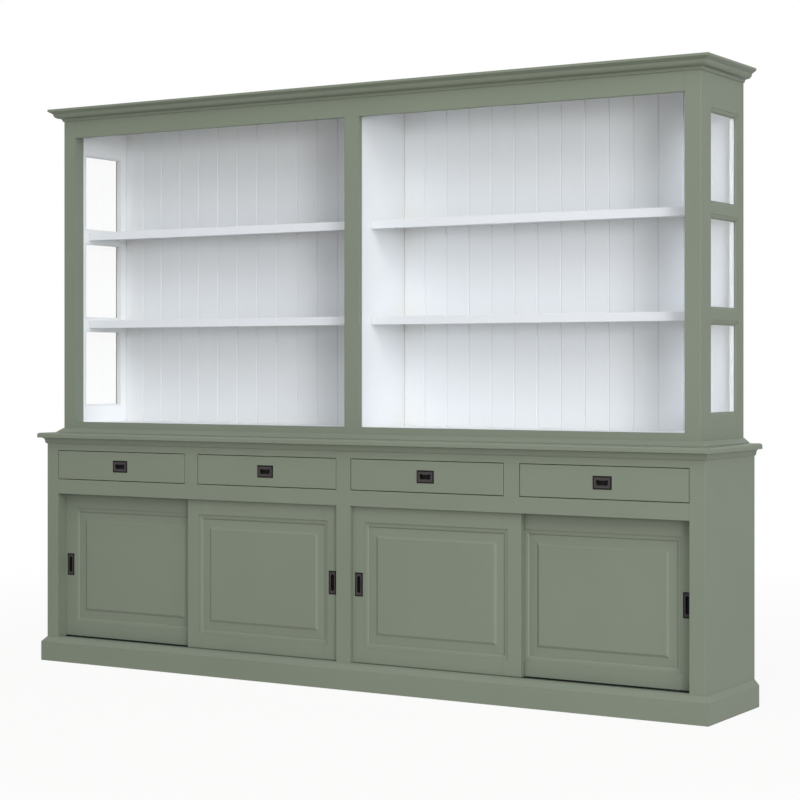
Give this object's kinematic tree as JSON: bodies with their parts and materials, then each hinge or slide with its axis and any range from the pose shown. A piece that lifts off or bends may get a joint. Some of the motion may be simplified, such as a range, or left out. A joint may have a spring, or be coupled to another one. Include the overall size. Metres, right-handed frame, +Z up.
{
  "type": "display cabinet",
  "caption": "Large painted display cabinet: open shelved upper case with glazed sides and cornice on a base with drawers and sliding panelled doors with flush pulls.",
  "frame": {"origin": "on the floor, at the middle of the cabinet's bounding box", "axes": "+X along the cabinet to the right, the front faces -Y, +Z up"},
  "size_m": [3, 0.478, 2.291],
  "materials": {
    "sage_paint": "satin sage green paint",
    "white_paint": "satin white paint",
    "pale_wood": "clear lacquer",
    "black_iron": "blackened, satin",
    "clear_glass": "polished",
    "nylon": "matte black",
    "zinc_steel": "zinc plated"
  },
  "bodies": {
    "cabinet": {"back_boards_left": "white_paint", "back_boards_right": "white_paint", "base_back_panel": "sage_paint", "base_centre_divider": "sage_paint", "base_face_frame": "sage_paint", "base_floor": "sage_paint", "base_shelves": "white_paint", "base_sides": "sage_paint", "case_screws": "zinc_steel", "corner_posts": "sage_paint", "cornice": "sage_paint", "door_jambs": "sage_paint", "door_tracks": "nylon", "drawer_deck": "sage_paint", "drawer_runners": "pale_wood", "glazing_beads": "white_paint", "plinth_boards": "sage_paint", "shelf_pins": "zinc_steel", "side_frame_left": "sage_paint", "side_frame_right": "sage_paint", "side_glass_left": "clear_glass", "side_glass_right": "clear_glass", "upper_face_frame": "sage_paint", "upper_floor": "white_paint", "upper_partition": "white_paint", "upper_shelves": "white_paint", "upper_top": "sage_paint", "waist_moulding": "sage_paint", "worktop": "sage_paint", "worktop_moulding": "sage_paint"},
    "drawer_1": {"drawer_box_1": "pale_wood", "drawer_front_1": "sage_paint", "drawer_pull_1": "black_iron"},
    "drawer_2": {"drawer_box_2": "pale_wood", "drawer_front_2": "sage_paint", "drawer_pull_2": "black_iron"},
    "drawer_3": {"drawer_box_3": "pale_wood", "drawer_front_3": "sage_paint", "drawer_pull_3": "black_iron"},
    "drawer_4": {"drawer_box_4": "pale_wood", "drawer_front_4": "sage_paint", "drawer_pull_4": "black_iron"},
    "door_1": {"door_frame_1": "sage_paint", "door_glides_1": "nylon", "door_panel_1": "sage_paint", "door_pull_1": "black_iron"},
    "door_2": {"door_frame_2": "sage_paint", "door_glides_2": "nylon", "door_panel_2": "sage_paint", "door_pull_2": "black_iron"},
    "door_3": {"door_frame_3": "sage_paint", "door_glides_3": "nylon", "door_panel_3": "sage_paint", "door_pull_3": "black_iron"},
    "door_4": {"door_frame_4": "sage_paint", "door_glides_4": "nylon", "door_panel_4": "sage_paint", "door_pull_4": "black_iron"}
  },
  "joints": [
    {"name": "drawer_1_slide", "type": "slide", "parent": "cabinet", "child": "drawer_1", "axis": [0, -1, 0], "range_m": [0, 0.3]},
    {"name": "drawer_2_slide", "type": "slide", "parent": "cabinet", "child": "drawer_2", "axis": [0, -1, 0], "range_m": [0, 0.3]},
    {"name": "drawer_3_slide", "type": "slide", "parent": "cabinet", "child": "drawer_3", "axis": [0, -1, 0], "range_m": [0, 0.3]},
    {"name": "drawer_4_slide", "type": "slide", "parent": "cabinet", "child": "drawer_4", "axis": [0, -1, 0], "range_m": [0, 0.3]},
    {"name": "door_1_slide", "type": "slide", "parent": "cabinet", "child": "door_1", "axis": [1, 0, 0], "range_m": [0, 0.659]},
    {"name": "door_2_slide", "type": "slide", "parent": "cabinet", "child": "door_2", "axis": [-1, 0, 0], "range_m": [0, 0.659]},
    {"name": "door_3_slide", "type": "slide", "parent": "cabinet", "child": "door_3", "axis": [1, 0, 0], "range_m": [0, 0.659]},
    {"name": "door_4_slide", "type": "slide", "parent": "cabinet", "child": "door_4", "axis": [-1, 0, 0], "range_m": [0, 0.659]}
  ]
}
